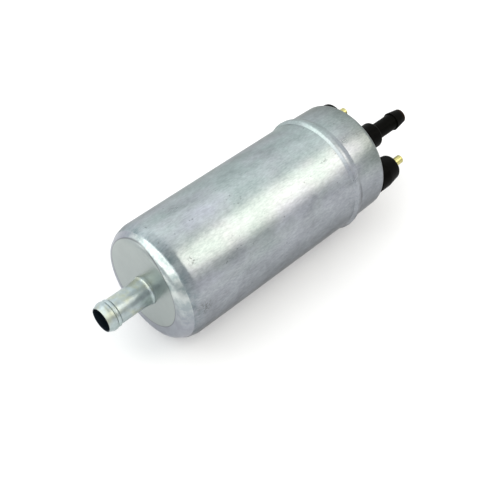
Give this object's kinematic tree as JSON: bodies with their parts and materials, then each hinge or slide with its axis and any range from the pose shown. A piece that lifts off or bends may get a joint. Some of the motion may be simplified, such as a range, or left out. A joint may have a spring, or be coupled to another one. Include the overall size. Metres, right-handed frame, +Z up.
{
  "type": "fuel pump",
  "caption": "Inline electric fuel pump: round metal can with a hose stub, rolled rim, black end cover, two stud terminals and a barbed outlet.",
  "frame": {"origin": "on the pump's axis, halfway along the plain wall of the can that the clamp band holds", "axes": "+X along the axis towards the outlet, +Z up, the two terminals on a line 13 degrees from Y"},
  "size_m": [0.1797, 0.0542, 0.0542],
  "materials": {
    "can": "drawn, fine axial grain, light scratches",
    "stub": "turned, slightly darker than the can",
    "strainer": "black moulding",
    "black_plastic": "satin black moulding",
    "stud_brass": "turned brass",
    "plate_iron": "ground faces",
    "gear_steel": "sintered and ground",
    "steel": "bright",
    "spring_steel": "wound wire",
    "seal_rubber": "black",
    "bronze": "sintered",
    "flux_steel": "zinc plated",
    "magnet": "ferrite",
    "copper": "copper wire and bars",
    "moulding": "brown phenolic",
    "carbon": "pressed carbon",
    "valve_brass": "turned brass"
  },
  "bodies": {
    "housing": {"brush_holder_a": "valve_brass", "brush_holder_b": "valve_brass", "brush_lead_a": "copper", "brush_lead_b": "copper", "brush_spring_a": "spring_steel", "brush_spring_b": "spring_steel", "delivery_plate": "plate_iron", "end_cover": "black_plastic", "end_cover_seal": "seal_rubber", "flux_tube": "flux_steel", "front_bearing": "bronze", "gear_housing": "plate_iron", "housing_can": "can", "inlet_fitting": "stub", "inlet_strainer": "strainer", "intake_plate": "plate_iron", "magnet_clip_left": "steel", "magnet_clip_right": "steel", "magnet_lower": "magnet", "magnet_upper": "magnet", "nozzle_seal": "seal_rubber", "outlet_nozzle": "black_plastic", "rear_bearing": "bronze", "relief_plug": "valve_brass", "relief_spring": "spring_steel", "stage_screws": "steel", "suppression_choke_a": "copper", "suppression_choke_b": "copper", "terminal_insulator_a": "black_plastic", "terminal_insulator_b": "black_plastic", "terminal_stud_a": "stud_brass", "terminal_stud_b": "stud_brass", "valve_seat": "valve_brass", "valve_spring": "spring_steel"},
    "armature": {"armature_shaft": "steel", "armature_core": "steel", "armature_winding": "copper", "commutator_hub": "moulding", "commutator_segments": "copper", "thrust_washer": "moulding", "inner_gear": "gear_steel"},
    "outer_ring": {"outer_gear": "gear_steel"},
    "brush_a_body": {"brush_a": "carbon"},
    "brush_b_body": {"brush_b": "carbon"},
    "relief_body": {"relief_valve": "valve_brass"},
    "valve_body": {"valve_poppet": "moulding"}
  },
  "joints": [
    {"name": "armature_spin", "type": "hinge", "parent": "housing", "child": "armature", "pos_m": [0, 0, 0], "axis": [1, 0, 0], "continuous": true},
    {"name": "outer_gear_spin", "type": "hinge", "parent": "housing", "child": "outer_ring", "pos_m": [-0.03253, 0, 0.00135], "axis": [1, 0, 0], "continuous": true},
    {"name": "brush_a_slide", "type": "slide", "parent": "housing", "child": "brush_a_body", "axis": [0, 0.9744, 0.225], "range_m": [0, 0.002], "stiffness_N_per_m": 200, "springref_m": -0.01, "deforming": ["brush_spring_a", "brush_lead_a"]},
    {"name": "brush_b_slide", "type": "slide", "parent": "housing", "child": "brush_b_body", "axis": [0, -0.9744, -0.225], "range_m": [0, 0.002], "stiffness_N_per_m": 200, "springref_m": -0.01, "deforming": ["brush_spring_b", "brush_lead_b"]},
    {"name": "relief_valve_slide", "type": "slide", "parent": "housing", "child": "relief_body", "axis": [-1, 0, 0], "range_m": [0, 0.0012], "stiffness_N_per_m": 1500, "springref_m": -0.004, "deforming": ["relief_spring"]},
    {"name": "check_valve_slide", "type": "slide", "parent": "housing", "child": "valve_body", "axis": [1, 0, 0], "range_m": [0, 0.0025], "stiffness_N_per_m": 100, "springref_m": -0.004, "deforming": ["valve_spring"]}
  ],
  "couplings": [
    {"joint": "outer_gear_spin", "follows": "armature_spin", "ratio": 0.85714}
  ]
}
